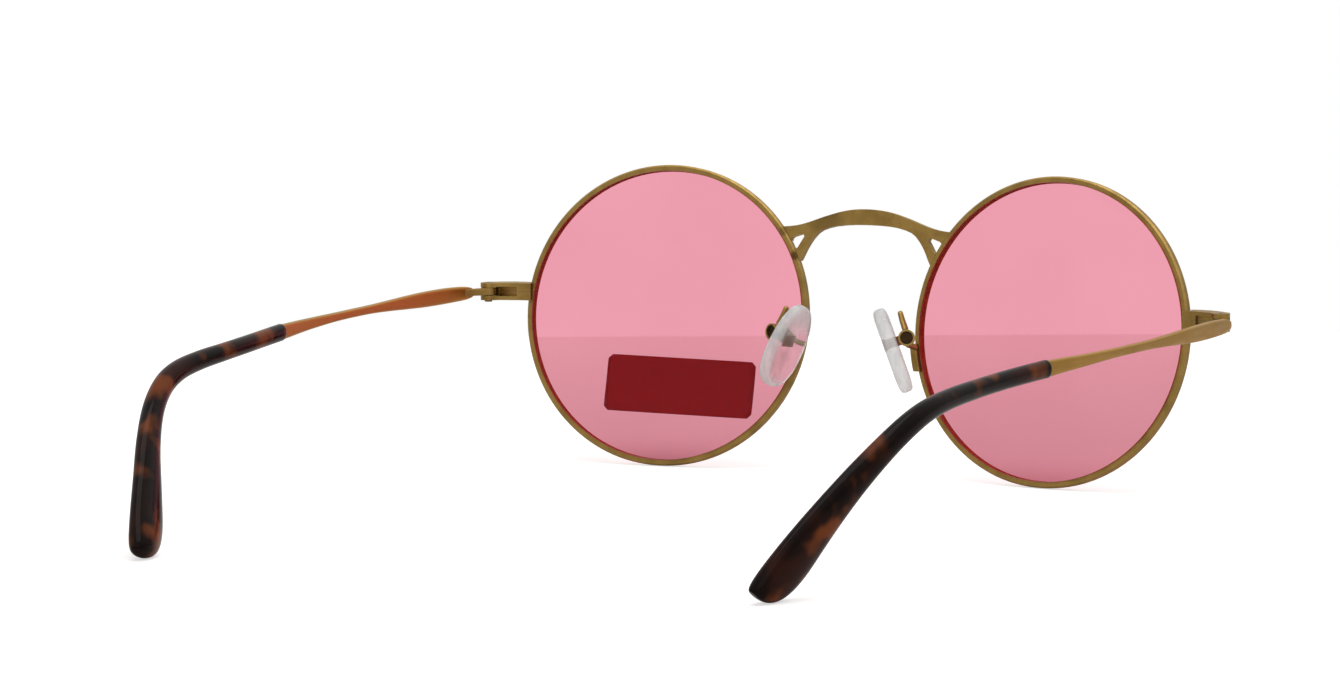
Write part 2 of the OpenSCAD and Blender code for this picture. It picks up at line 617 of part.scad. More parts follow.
module insert_solid(g) {
    translate([plate_x - insert_t / 2 - g, -insert_w / 2 - g, -insert_h / 2 - g])
        cube([insert_t + 2 * g, insert_w + 2 * g, insert_h + 2 * g]);
    translate([plate_x, -tab_t / 2 - g, -tab_r - g])
        cube([-plate_x - (g > 0 ? tab_root : 0), tab_t + 2 * g, 2 * tab_r + 2 * g]);
}

module pad_insert() color(gold) front() at_box() difference() {
    union() {
        insert_solid(0);
        rotate([90, 0, 0]) cylinder(r = tab_r, h = tab_t, center = true, $fn = screw_n);
    }
    rotate([90, 0, 0])
        cylinder(d = pad_screw_d + 2 * turn_gap, h = 2 * box_half, center = true, $fn = wire_n);
}

module nose_pad() color(clear) front() at_box() difference() {
    translate([-pad_stand, -pad_screw_back, -pad_screw_up]) rotate([pad_tip, 0, 0])
        tube(pad_rings);
    insert_solid(insert_gap);
}

rim();  // rim_left
other() rim();  // rim_right
lens();  // lens_left
other() lens();  // lens_right
lens_label();
bridge();
end_upper();  // end_upper_left
other() end_upper();  // end_upper_right
end_lower();  // end_lower_left
other() end_lower();  // end_lower_right
rim_screw();  // rim_screw_left
other() rim_screw();  // rim_screw_right
hinge_screw();  // hinge_screw_left
other() hinge_screw();  // hinge_screw_right
hinge_leaf();  // hinge_leaf_left
other() hinge_leaf();  // hinge_leaf_right
temple();  // temple_left
other() temple();  // temple_right
tip();  // tip_left
other() tip();  // tip_right
pad_foot();  // pad_foot_left
other() pad_foot();  // pad_foot_right
pad_arm();  // pad_arm_left
other() pad_arm();  // pad_arm_right
pad_box();  // pad_box_left
other() pad_box();  // pad_box_right
pad_screw();  // pad_screw_left
other() pad_screw();  // pad_screw_right
pad_insert();  // pad_insert_left
other() pad_insert();  // pad_insert_right
nose_pad();  // nose_pad_left
other() nose_pad();  // nose_pad_right
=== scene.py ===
import json

import bmesh
import bpy
import numpy as np
from mathutils import Matrix, Vector


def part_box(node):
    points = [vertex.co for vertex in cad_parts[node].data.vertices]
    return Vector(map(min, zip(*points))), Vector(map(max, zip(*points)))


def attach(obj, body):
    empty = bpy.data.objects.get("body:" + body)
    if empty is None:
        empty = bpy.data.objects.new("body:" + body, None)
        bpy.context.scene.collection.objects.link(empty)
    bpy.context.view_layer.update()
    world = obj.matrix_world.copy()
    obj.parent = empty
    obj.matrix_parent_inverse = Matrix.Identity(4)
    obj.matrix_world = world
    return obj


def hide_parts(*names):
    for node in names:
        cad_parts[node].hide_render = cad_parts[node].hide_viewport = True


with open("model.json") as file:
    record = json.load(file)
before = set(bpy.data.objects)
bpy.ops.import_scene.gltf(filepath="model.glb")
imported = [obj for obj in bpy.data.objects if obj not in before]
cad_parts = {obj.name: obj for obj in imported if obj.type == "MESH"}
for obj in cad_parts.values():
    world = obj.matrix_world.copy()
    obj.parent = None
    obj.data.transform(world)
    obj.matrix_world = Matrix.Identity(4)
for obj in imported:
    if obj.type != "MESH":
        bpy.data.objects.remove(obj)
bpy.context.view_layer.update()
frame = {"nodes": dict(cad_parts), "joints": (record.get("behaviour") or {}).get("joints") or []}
nodes = frame["nodes"]
mm = 0.001

# Rims
# Two rings of drawn wire with a groove inside for the lens, plated a satin antique gold.
# Each is split at its outer side, where the end piece clamps it shut.

rim_low, rim_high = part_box("rim_left")
front_origin = np.array([0, (rim_low.y + rim_high.y) / 2, (rim_low.z + rim_high.z) / 2])
eye_out = (rim_low.x + rim_high.x) / 2
lean = np.radians(7.6)
wrap = np.radians(6)
# width of the brighter line along the plating's edges, partly rubbed and partly a painted
# highlight
rubbed_highlight_width = 0.18
grain_depth = 0.01
gold_plain = (0.36, 0.229, 0.066)
gold_dark = (0.175, 0.103, 0.025)
# the edges' colour: rubbed gold, lightened further as a painted highlight
gold_rubbed_highlight = (0.47, 0.37, 0.18)
# the brown that the marks darken the gold towards
mark_brown = (0.07, 0.035, 0.012, 1)
# share of a mark's radius over which it keeps its full strength
mark_heart = 0.3
# two dark brown marks on the left rim, near where the bridge's legs meet it
# point in the plane of the front, radius of the mark, strength in its middle
rim_dark_marks = [((15.4, -1.5, 15.2), 1.1, 0.5), ((13.0, -1.8, 11.2), 1.2, 0.85)]


def turn_z(points, angle):
    """Points turned by an angle round the vertical axis, x towards y."""
    c, s = np.cos(angle), np.sin(angle)
    return points @ np.array([[c, s, 0], [-s, c, 0], [0, 0, 1]])


def stand_front(points):
    """Points in the plane of the front, tipped by its lean and moved to where the front stands."""
    c, s = np.cos(lean), np.sin(lean)
    return points @ np.array([[1, 0, 0], [0, c, s], [0, -s, c]]) + front_origin


def stand_eye(points):
    """Points round a lens centre, turned by the left lens's wrap and stood up with the front."""
    return stand_front(turn_z(points, wrap) + np.array([eye_out, 0, 0]))


def link(tree, source, target):
    """Joins a socket that gives to one that takes."""
    tree.links.new(source, target)


def new_group(name, ins, outs):
    """An empty shader group with its inputs (name, type, default) and outputs (name, type)."""
    group = bpy.data.node_groups.new(name, "ShaderNodeTree")
    for label, kind, value in ins:
        socket = group.interface.new_socket(label, in_out="INPUT", socket_type=kind)
        socket.default_value = value
    for label, kind in outs:
        group.interface.new_socket(label, in_out="OUTPUT", socket_type=kind)
    return group, group.nodes.new("NodeGroupInput"), group.nodes.new("NodeGroupOutput")


def own_place(tree):
    """Each point's place on the piece, in metres."""
    return tree.nodes.new("ShaderNodeTexCoord").outputs["Object"]


def stretched(tree, coords, scale, shift=(0, 0, 0)):
    """Coordinates times scale plus shift. A scale under 1 draws a pattern out along its axis."""
    node = tree.nodes.new("ShaderNodeMapping")
    node.inputs["Scale"].default_value = scale
    node.inputs["Location"].default_value = shift
    link(tree, coords, node.inputs["Vector"])
    return node.outputs["Vector"]


def reckon(tree, operation, first, second, clamp=False):
    """One step of arithmetic on two sockets."""
    node = tree.nodes.new("ShaderNodeMath")
    node.operation = operation
    node.use_clamp = clamp
    link(tree, first, node.inputs[0])
    link(tree, second, node.inputs[1])
    return node.outputs[0]


def noise(tree, coords, scale, detail, rough):
    """A noise texture on the given coordinates; scale is in cells to the metre."""
    node = tree.nodes.new("ShaderNodeTexNoise")
    node.inputs["Scale"].default_value = scale
    node.inputs["Detail"].default_value = detail
    node.inputs["Roughness"].default_value = rough
    link(tree, coords, node.inputs["Vector"])
    return node.outputs["Fac"]


def spread(tree, value, low, high, to_low, to_high, smooth=True):
    """A Map Range from low..high to to_low..to_high."""
    node = tree.nodes.new("ShaderNodeMapRange")
    node.interpolation_type = "SMOOTHSTEP" if smooth else "LINEAR"
    ranges = (("From Min", low), ("From Max", high), ("To Min", to_low), ("To Max", to_high))
    for label, number in ranges:
        node.inputs[label].default_value = number
    link(tree, value, node.inputs["Value"])
    return node.outputs["Result"]


def blend_colours(tree, mask, first, second):
    """Mixes two colours, each a socket or a plain colour, by the socket mask."""
    node = tree.nodes.new("ShaderNodeMix")
    node.data_type = "RGBA"
    link(tree, mask, node.inputs[0])
    for socket, colour in ((node.inputs[6], first), (node.inputs[7], second)):
        if hasattr(colour, "is_output"):
            link(tree, colour, socket)
        else:
            socket.default_value = colour
    return node.outputs[2]


def make_plating_group():
    """Satin plating: cloudy tone drawn out from front to back, fine grain, and a brighter line
    along every edge, partly rubbed bright and partly a painted highlight."""
    ins = [("Colour", "NodeSocketColor", (0.5, 0.35, 0.15, 1)),
           ("Dark Colour", "NodeSocketColor", (0.2, 0.12, 0.05, 1)),
           ("Edge Colour", "NodeSocketColor", (0.8, 0.6, 0.3, 1)),
           ("Roughness", "NodeSocketFloat", 0.35)]
    outs = [("Colour", "NodeSocketColor"), ("Roughness", "NodeSocketFloat"),
            ("Height", "NodeSocketFloat")]
    group, source, sink = new_group("plating", ins, outs)
    coords = stretched(group, own_place(group), (1.0, 0.22, 1.0))
    clouds = spread(group, noise(group, coords, 260, 4, 0.6), 0.35, 0.72, 0, 0.55)
    grain = noise(group, coords, 5200, 2, 0.6)
    tone = blend_colours(group, clouds, source.outputs["Colour"], source.outputs["Dark Colour"])
    soft_edge = group.nodes.new("ShaderNodeBevel")
    soft_edge.samples = 4
    soft_edge.inputs["Radius"].default_value = rubbed_highlight_width * mm
    plain = group.nodes.new("ShaderNodeNewGeometry")
    alike = group.nodes.new("ShaderNodeVectorMath")
    alike.operation = "DOT_PRODUCT"
    link(group, soft_edge.outputs["Normal"], alike.inputs[0])
    link(group, plain.outputs["Normal"], alike.inputs[1])
    # painted highlight: the bevel mask lightens every edge towards the edge colour, on top of real
    # rubbing
    edge = spread(group, alike.outputs["Value"], 0.82, 0.99, 0.6, 0)
    tone = blend_colours(group, edge, tone, source.outputs["Edge Colour"])
    link(group, tone, sink.inputs["Colour"])
    wobble = spread(group, noise(group, coords, 900, 3, 0.6), 0.3, 0.7, -0.06, 0.08)
    rough = reckon(group, "ADD", source.outputs["Roughness"], wobble, clamp=True)
    link(group, rough, sink.inputs["Roughness"])
    link(group, grain, sink.inputs["Height"])
    return group


plating = make_plating_group()


def new_material(name):
    """A material with its Principled shader at hand."""
    material = bpy.data.materials.new(name)
    material.use_nodes = True
    return material, material.node_tree, material.node_tree.nodes["Principled BSDF"]


def put_bump(tree, shader, height, depth, strength):
    """A bump of the given depth in metres on the shader's normal."""
    bump = tree.nodes.new("ShaderNodeBump")
    bump.inputs["Distance"].default_value = depth
    bump.inputs["Strength"].default_value = strength
    link(tree, height, bump.inputs["Height"])
    link(tree, bump.outputs["Normal"], shader.inputs["Normal"])


def make_metal(name, colour, dark, edge, roughness):
    """A plated metal made of the plating group with its own plain, dark and edge colours."""
    material, tree, shader = new_material(name)
    finish = tree.nodes.new("ShaderNodeGroup")
    finish.node_tree = plating
    finish.inputs["Colour"].default_value = (*colour, 1)
    finish.inputs["Dark Colour"].default_value = (*dark, 1)
    finish.inputs["Edge Colour"].default_value = (*edge, 1)
    finish.inputs["Roughness"].default_value = roughness
    link(tree, finish.outputs["Colour"], shader.inputs["Base Color"])
    link(tree, finish.outputs["Roughness"], shader.inputs["Roughness"])
    shader.inputs["Metallic"].default_value = 1.0
    put_bump(tree, shader, finish.outputs["Height"], grain_depth * mm, 0.35)
    return material


antique_gold = make_metal("antique gold plating", gold_plain, gold_dark, gold_rubbed_highlight,
                          roughness=0.42)


def dress(names, material):
    """Gives CAD nodes that keep their own mesh a material."""
    for name in names:
        nodes[name].data.materials.clear()
        nodes[name].data.materials.append(material)


def make_marked_gold(name, marks):
    """Antique gold darkened towards brown at marks, each a point in the plane of the front, in
    millimetres, the radius over which it fades out, and its strength in the middle."""
    material = make_metal(name, gold_plain, gold_dark, gold_rubbed_highlight, roughness=0.5)
    tree = material.node_tree
    shader = tree.nodes["Principled BSDF"]
    colour = shader.inputs["Base Color"].links[0].from_socket
    coords = own_place(tree)
    for point, radius, strength in marks:
        away = tree.nodes.new("ShaderNodeVectorMath")
        away.operation = "DISTANCE"
        link(tree, coords, away.inputs[0])
        away.inputs[1].default_value = stand_front(np.array(point) * mm)
        mask = spread(tree, away.outputs["Value"], mark_heart * radius * mm, radius * mm,
                      strength, 0)
        colour = blend_colours(tree, mask, colour, mark_brown)
    link(tree, colour, shader.inputs["Base Color"])
    return material


rim_gold = make_marked_gold("rim plating with dark marks", rim_dark_marks)
dress(["rim_left", "rim_right"], rim_gold)

# Lenses
# Moulded pink polarising plastic, 2 mm thick and gently domed towards the front.
# A bevel all round sits in the rim's groove.

lens_radius = 25.25
bevel_height = 0.35
bevel_gap = 0.02
lens_seat = lens_radius - bevel_height - bevel_gap
lens_thickness = 2
dome_radius = 130
groove_half = 0.45
lens_around = 192
lens_steps = 40
# the ground rings: the front face's last one and the bevel
ground_from = lens_steps - 2
ground_to = lens_steps + 3


def put_in_scene(name, data):
    """An object for a mesh, a lamp or the camera."""
    thing = bpy.data.objects.new(name, data)
    bpy.context.scene.collection.objects.link(thing)
    return thing


def skin(name, rings, material):
    """Skin over closed rings of points, an array (ring, point, 3) in millimetres. Ring j joins
    ring j + 1 with quads, and a fan to the mean of the first and last ring closes the two ends.
    The signed volume of the result, the sum of a . (b x c) / 6 over its faces, says which way
    round the faces go, and they are turned to point outwards."""
    count, around = rings.shape[:2]
    points = np.vstack([rings.reshape(-1, 3), rings[0].mean(0), rings[-1].mean(0)])
    j, k = np.meshgrid(np.arange(count - 1), np.arange(around), indexing="ij")
    after = (k + 1) % around
    quads = np.stack([j * around + k, j * around + after, (j + 1) * around + after,
                      (j + 1) * around + k], -1).reshape(-1, 4)
    k = np.arange(around)
    after = (k + 1) % around
    last = (count - 1) * around
    first_fan = np.stack([after, k, np.full(around, count * around)], -1)
    last_fan = np.stack([last + k, last + after, np.full(around, count * around + 1)], -1)
    corners = np.vstack([quads[:, [0, 1, 2]], quads[:, [0, 2, 3]], first_fan, last_fan])
    a, b, c = points[corners[:, 0]], points[corners[:, 1]], points[corners[:, 2]]
    if (a * np.cross(b, c)).sum() < 0:
        quads, first_fan, last_fan = quads[:, ::-1], first_fan[:, ::-1], last_fan[:, ::-1]
    mesh = bpy.data.meshes.new(name)
    faces = quads.tolist() + first_fan.tolist() + last_fan.tolist()
    mesh.from_pydata((points * mm).tolist(), [], faces)
    mesh.update()
    mesh.polygons.foreach_set("use_smooth", np.full(len(mesh.polygons), True))
    mesh.materials.append(material)
    return put_in_scene(name, mesh)


def place(piece, body, slot, *replaced):
    """Hangs a piece on its body and takes the place of its CAD nodes. Its slot is not used."""
    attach(piece, body)
    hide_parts(*replaced)


def on_side(points, side):
    """The same points on the wearer's left (1) or mirrored to the right (-1)."""
    return points * np.array([side, 1, 1])


def stood(rings, stand, side):
    """Rings in millimetres of the front, stood up by stand and moved to their side."""
    return (on_side(stand(rings.reshape(-1, 3) * mm), side) / mm).reshape(rings.shape)


sides = (("left", 1), ("right", -1))


def dome_height(radius):
    """Height over the rim's middle plane of the lens's front face, a sphere cap whose edge stands
    half the lens's thickness in front of that plane."""
    fall = np.sqrt(dome_radius ** 2 - radius ** 2) - np.sqrt(dome_radius ** 2 - lens_seat ** 2)
    return fall + lens_thickness / 2


def lens_rings():
    """A profile of (radius, height) turned round the lens's axis: the front face outwards from
    the pole, the bevel's three corners, and the rear face inwards, a lens thickness behind the
    front. The rings of a face stand at r = seat sin(u) and so lie closer near its edge."""
    r = lens_seat * np.sin(np.linspace(0.02, 1, lens_steps) * np.pi / 2)
    front = np.stack([r, dome_height(r)], -1)
    bevel = np.array([[lens_seat, groove_half], [lens_radius, 0.0], [lens_seat, -groove_half]])
    back = np.stack([r, dome_height(r) - lens_thickness], -1)[::-1]
    profile = np.vstack([front, bevel, back])
    t = 2 * np.pi * np.arange(lens_around) / lens_around
    radius, height = profile[:, 0, None], profile[:, 1, None]
    return np.stack([radius * np.cos(t), -height + 0 * t, radius * np.sin(t)], -1)


def make_lens_material():
    """Clear pink plastic; the colour is the tint of the light that has crossed the whole lens."""
    material, tree, shader = new_material("pink lens")
    coords = own_place(tree)
    haze = spread(tree, noise(tree, coords, 45, 2, 0.5), 0.35, 0.65, 0, 1)
    tint = blend_colours(tree, haze, (0.84, 0.335, 0.42, 1), (0.86, 0.35, 0.435, 1))
    link(tree, tint, shader.inputs["Base Color"])
    smear = spread(tree, noise(tree, coords, 120, 3, 0.5), 0.45, 0.75, 0.0, 0.03)
    link(tree, smear, shader.inputs["Roughness"])
    shader.inputs["Transmission Weight"].default_value = 1.0
    shader.inputs["IOR"].default_value = 1.2
    return material


def make_edge_material():
    """The lens's ground edge, where the plastic is seen end on: deep red, slightly uneven."""
    material, tree, shader = new_material("ground lens edge")
    coords = own_place(tree)
    grinding = spread(tree, noise(tree, coords, 1500, 3, 0.6), 0.3, 0.7, 0, 1)
    red = blend_colours(tree, grinding, (0.32, 0.03, 0.007, 1), (0.45, 0.052, 0.013, 1))
    link(tree, red, shader.inputs["Base Color"])
    shader.inputs["Roughness"].default_value = 0.5
    shader.inputs["Specular IOR Level"].default_value = 0.1
    put_bump(tree, shader, grinding, grain_depth * mm, 0.3)
    return material


lens_plastic = make_lens_material()
ground_edge = make_edge_material()
for side_name, side in sides:
    lens = skin(f"tinted_lens_{side_name}", stood(lens_rings(), stand_eye, side), lens_plastic)
    lens.data.materials.append(ground_edge)
    band = np.zeros(len(lens.data.polygons), dtype=np.int32)
    band[ground_from * lens_around:ground_to * lens_around] = 1
    lens.data.polygons.foreach_set("material_index", band)
    place(lens, "front", "lens", f"lens_{side_name}")

# Lens label
# A plain dark red paper label stuck on the front of the left lens, with rounded corners.
# It follows the lens's dome and is bare.

label_length = 27.6
label_height = 9.8
label_thickness = 0.12
label_place = (-2.3, -12.1)
label_turn = np.radians(0.5)
label_corner = 1.0
paper_gap = 0.008
label_around = 96
label_steps = 16


def label_rings():
    """Rounded rectangles shrunk towards the label's middle, on the lens for the back of the paper
    and a paper's thickness over it for the front. A rectangle of half sides h has its outline at
    clamp(d, -(h - r), h - r) + r d / |d|, where d runs round it."""
    t = 2 * np.pi * (np.arange(label_around) + 0.5) / label_around
    half = np.array([label_length, label_height]) / 2
    ray = np.stack([np.cos(t), np.sin(t)], -1)
    reach = ray / np.abs(ray / half).max(-1, keepdims=True)
    inner = np.clip(reach, -(half - label_corner), half - label_corner)
    outward = reach - inner
    length = np.maximum(np.linalg.norm(outward, axis=-1, keepdims=True), 1e-9)
    outline = inner + outward / length * np.minimum(length, label_corner)
    grow = np.linspace(0.05, 1, label_steps)
    shrink = np.r_[grow, grow[::-1]][:, None, None]
    over = np.repeat([paper_gap, label_thickness], label_steps)[:, None]
    flat = outline * shrink
    c, s = np.cos(label_turn), np.sin(label_turn)
    x = flat[..., 0] * c - flat[..., 1] * s + label_place[0]
    z = flat[..., 0] * s + flat[..., 1] * c + label_place[1]
    return np.stack([x, -(dome_height(np.hypot(x, z)) + over), z], -1)


def make_label_material():
    """Dark red paper with a faint mottle of its fibres."""
    material, tree, shader = new_material("dark red paper")
    coords = own_place(tree)
    fibres = spread(tree, noise(tree, coords, 2200, 4, 0.7), 0.3, 0.7, 0, 1)
    paper = blend_colours(tree, fibres, (0.3, 0.009, 0.012, 1), (0.335, 0.012, 0.016, 1))
    link(tree, paper, shader.inputs["Base Color"])
    shader.inputs["Roughness"].default_value = 0.7
    shader.inputs["Specular IOR Level"].default_value = 0.2
    put_bump(tree, shader, fibres, grain_depth * mm, 0.3)
    return material


label = skin("blank_label", stood(label_rings(), stand_eye, 1), make_label_material())
place(label, "front", "label", "lens_label")

# Bridge
# A stamped plate with an arched bar and two pierced legs, tumbled so that its edges are soft,
# and brazed to both rims.

bridge_edge = 0.25
# painted shade: a broad brown mark that darkens the bridge's left shoulder
bridge_painted_shade = [((7.3, -1.5, 17.3), 4.2, 0.42)]
merge_gap = 0.0005
flat_angle = np.radians(0.5)
sharp_angle = np.radians(35)


def soften(node_name, piece_name, width, body):
    """A gold copy of a CAD node with its loose triangles merged, its flat faces joined and its
    sharp edges rounded off by a bevel of the given width."""
    mesh = nodes[node_name].data.copy()
    shape = bmesh.new()
    shape.from_mesh(mesh)
    bmesh.ops.remove_doubles(shape, verts=shape.verts, dist=merge_gap * mm)
    bmesh.ops.dissolve_limit(shape, angle_limit=flat_angle, verts=shape.verts,
                             edges=shape.edges)
    bmesh.ops.recalc_face_normals(shape, faces=shape.faces)
    shape.to_mesh(mesh)
    shape.free()
    if mesh.has_custom_normals:
        mesh.attributes.remove(mesh.attributes["custom_normal"])
    mesh.polygons.foreach_set("use_smooth", np.full(len(mesh.polygons), True))
    mesh.materials.clear()
    mesh.materials.append(antique_gold)
    piece = put_in_scene(piece_name, mesh)
    round_off = piece.modifiers.new("rounded edges", "BEVEL")
    round_off.width = width * mm
    round_off.segments = 3
    round_off.limit_method = "ANGLE"
    round_off.angle_limit = sharp_angle
    round_off.harden_normals = True
    place(piece, body, "gold", node_name)
    return piece


bridge = soften("bridge", "bridge_plate", bridge_edge, "front")
bridge.data.materials[0] = make_marked_gold("bridge plating with painted shade", bridge_painted_shade)

# End pieces, screws and hinge leaves
# Each end piece is two small castings that a screw from below pulls together over the split rim.
# The hinge screw, in a darker gold, runs through their knuckles and the temple's leaf.

casting_edge = 0.13
small_edge = 0.08
dark_gold = make_metal("dark gold screws", (0.22, 0.14, 0.05), (0.09, 0.055, 0.02),
                       (0.4, 0.29, 0.13), roughness=0.4)
# the pad screws' near black heads: their own dark metal, deepened by painted shade of the box's
# recess
dark_screw_and_shade = make_metal("dark screw heads with painted recess shade", (0.05, 0.028, 0.012), (0.02, 0.012, 0.006),
                     (0.12, 0.07, 0.03), roughness=0.45)
for side_name, side in sides:
    soften(f"end_upper_{side_name}", f"end_top_{side_name}", casting_edge, "front")
    soften(f"end_lower_{side_name}", f"end_bottom_{side_name}", casting_edge, "front")
    soften(f"hinge_leaf_{side_name}", f"hinge_tongue_{side_name}", small_edge,
           f"{side_name}_temple")
    dress([f"rim_screw_{side_name}", f"hinge_screw_{side_name}"], dark_gold)
    dress([f"pad_screw_{side_name}"], dark_screw_and_shade)

# Temples
# Flat pressed blades, waisted before the ear, that narrow to a core wire inside the tip.
# The outer face is antique gold and the face towards the head is painted coppery, a painted
# reddish reflection.


def joint_at(name):
    """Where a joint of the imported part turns, in millimetres."""
    spots = {joint["name"]: joint["pos_m"] for joint in frame["joints"]}
    return np.array(spots[name]) / mm


blade_from_hinge = np.array([2.1, 1.9, 0])
blade_start = joint_at("left_temple_fold") + blade_from_hinge
temple_run = 132.7
tip_inset = 18.5
drop = 29.369
blade_height = 2.74
blade_thickness = 1.15
core_height = 1.2
core_thickness = 0.9
tip_joint = 0.51
core_end = 0.86
# how round a section is: 1 an ellipse, 0 a box
blade_power = 0.5
core_power = 0.8
# share of the run over which the line's direction is taken, each way
line_step = 0.002
temple_around = 48
blade_steps = 260
core_steps = 60
core_behind = 0.0005
# share of the run, close together where the blade's root is rounded over
blade_root = [0, 0.0003, 0.0007, 0.0015, 0.003, 0.006, 0.01]
root_end = 0.016
# share of the run: share of the inset, share of the drop
route = np.array([
    [0, 0, 0.004], [0.05, -0.026, 0.003], [0.129, -0.038, 0.005], [0.205, -0.03, 0.006],
    [0.281, -0.01, 0.009], [0.357, 0.023, 0.015], [0.433, 0.072, 0.024], [0.5, 0.135, 0.034],
    [0.55, 0.184, 0.044], [0.61, 0.236, 0.059], [0.67, 0.27, 0.076], [0.73, 0.293, 0.097],
    [0.78, 0.315, 0.131], [0.82, 0.355, 0.192], [0.86, 0.44, 0.3], [0.9, 0.575, 0.458],
    [0.94, 0.745, 0.663], [1, 1, 1]])
# share of the run: share of the blade's height, share of its thickness
blade_size = np.array([
    [0, 0.22, 0.7], [0.0012, 0.38, 0.9], [0.004, 0.56, 1], [0.008, 0.68, 1], [0.015, 0.79, 1],
    [0.0226, 0.86, 1], [0.032, 0.9, 1], [0.05, 0.95, 1], [0.078, 0.99, 1], [0.121, 0.96, 1],
    [0.167, 0.825, 1], [0.212, 0.66, 1.02],
    [0.258, 0.54, 1.05], [0.304, 0.515, 1.08], [0.349, 0.525, 1.08], [0.395, 0.605, 1.05],
    [0.441, 0.72, 1], [0.487, 0.85, 1], [0.51, 0.92, 1]])


def follow(table, share):
    """A smooth curve through a table's rows: between rows i and i + 1, with u from 0 to 1 and h
    the step, a cubic with the rows' values and the slopes (next - previous) / (their distance)."""
    key, value = table[:, 0], table[:, 1:]
    below = np.maximum(np.arange(len(key)) - 1, 0)
    above = np.minimum(np.arange(len(key)) + 1, len(key) - 1)
    slope = (value[above] - value[below]) / (key[above] - key[below])[:, None]
    i = np.clip(np.searchsorted(key, share, side="right") - 1, 0, len(key) - 2)
    h = (key[i + 1] - key[i])[:, None]
    u = ((share - key[i])[:, None]) / h
    return (value[i] * (2 * u ** 3 - 3 * u ** 2 + 1) + slope[i] * h * (u ** 3 - 2 * u ** 2 + u)
            + value[i + 1] * (3 * u ** 2 - 2 * u ** 3) + slope[i + 1] * h * (u ** 3 - u ** 2))


def temple_spot(share):
    """Points on the left temple's middle line."""
    part = follow(route, share)
    return np.stack([blade_start[0] - tip_inset * part[:, 0], blade_start[1] + temple_run * share,
                     blade_start[2] - drop * part[:, 1]], -1)


def round_route(share, height, thickness, power, around, rise=0):
    """Rings square to the temple's line: out * t / 2 * |cos|^power + up * h / 2 * |sin|^power,
    with their signs, where up is the line's normal in the side view and out the normal to both.
    rise lifts each ring along up."""
    spot = temple_spot(share)
    ahead = (temple_spot(np.minimum(share + line_step, 1))
             - temple_spot(np.maximum(share - line_step, 0)))
    ahead /= np.linalg.norm(ahead, axis=1, keepdims=True)
    up = np.stack([0 * share, -ahead[:, 2], ahead[:, 1]], -1)
    up /= np.linalg.norm(up, axis=1, keepdims=True)
    out = np.cross(ahead, up)
    t = 2 * np.pi * (np.arange(around) + 0.5) / around
    wide = (np.sign(np.cos(t)) * np.abs(np.cos(t)) ** power)[None, :, None]
    tall = (np.sign(np.sin(t)) * np.abs(np.sin(t)) ** power)[None, :, None]
    spot = spot + up * np.reshape(rise, (-1, 1))
    return (spot[:, None] + out[:, None] * thickness[:, None, None] / 2 * wide
            + up[:, None] * height[:, None, None] / 2 * tall)


def temple_rings():
    """The blade's rounded rectangles, then the slimmer core wire."""
    share = np.r_[blade_root, np.linspace(root_end, tip_joint, blade_steps)]
    size = follow(blade_size, share)
    blade = round_route(share, blade_height * size[:, 0], blade_thickness * size[:, 1],
                        blade_power, temple_around)
    share = np.linspace(tip_joint + core_behind, core_end, core_steps)
    core = round_route(share, core_height + 0 * share, core_thickness + 0 * share,
                       core_power, temple_around)
    return np.concatenate([blade, core])


def store(piece, name, value):
    """Keeps a number for each point of a piece under a name, for its material."""
    attribute = piece.data.attributes.new(name, "FLOAT", "POINT")
    attribute.data.foreach_set("value", value.astype(np.float32))


def stored(tree, name):
    """The number that a piece keeps under a name."""
    node = tree.nodes.new("ShaderNodeAttribute")
    node.attribute_name = name
    return node.outputs["Fac"]


def make_blade_material():
    """Plated metal whose face towards the head, marked by the attribute inner, is painted coppery,
    a painted reflection.
    """
    material = make_metal("temple blade plating", (0.43, 0.24, 0.048), (0.3, 0.165, 0.03),
                          (0.56, 0.37, 0.12), roughness=0.4)
    tree = material.node_tree
    shader = tree.nodes["Principled BSDF"]
    outer = shader.inputs["Base Color"].links[0].from_socket
    # painted reflection: the coppery tint on the face towards the head
    both = blend_colours(tree, stored(tree, "inner"), outer, (0.52, 0.222, 0.042, 1))
    link(tree, both, shader.inputs["Base Color"])
    return material


def mark_inner(piece, side):
    """Stores how far each point faces the head: clamp(2.2 n - 0.9), where n is the part of its
    normal that points there."""
    mesh = piece.data
    normals = np.zeros(len(mesh.vertices) * 3)
    mesh.vertices.foreach_get("normal", normals)
    store(piece, "inner", np.clip(-side * normals.reshape(-1, 3)[:, 0] * 2.2 - 0.9, 0, 1))


blade_metal = make_blade_material()
for side_name, side in sides:
    blade = skin(f"temple_blade_{side_name}", on_side(temple_rings(), side), blade_metal)
    mark_inner(blade, side)
    place(blade, f"{side_name}_temple", "gold", f"temple_{side_name}")

# Temple tips
# Acetate sleeves, bent down behind the ear and widening to a paddle, pressed over the core wire.
# Dark tortoise: near black brown with amber brown clouds under a polished face.

tip_width = 8.9
tip_thickness = 3.8
round_from = 0.98
slant_from = 0.952
slant_skew = 0.8
slant_power = 2.4
round_power = 3
tip_power = 0.95
tip_around = 56
tip_steps = 120
end_steps = 40
bore_gap = 0.06
bore_behind = 0.0015
bore_steps = 50
# share of the run behind the mouth, and what the size lacks there
mouth_lip = np.array([[0, 0.5], [0, 0.3], [0.0004, 0.12], [0.0012, 0.0]])
lip_end = 0.004
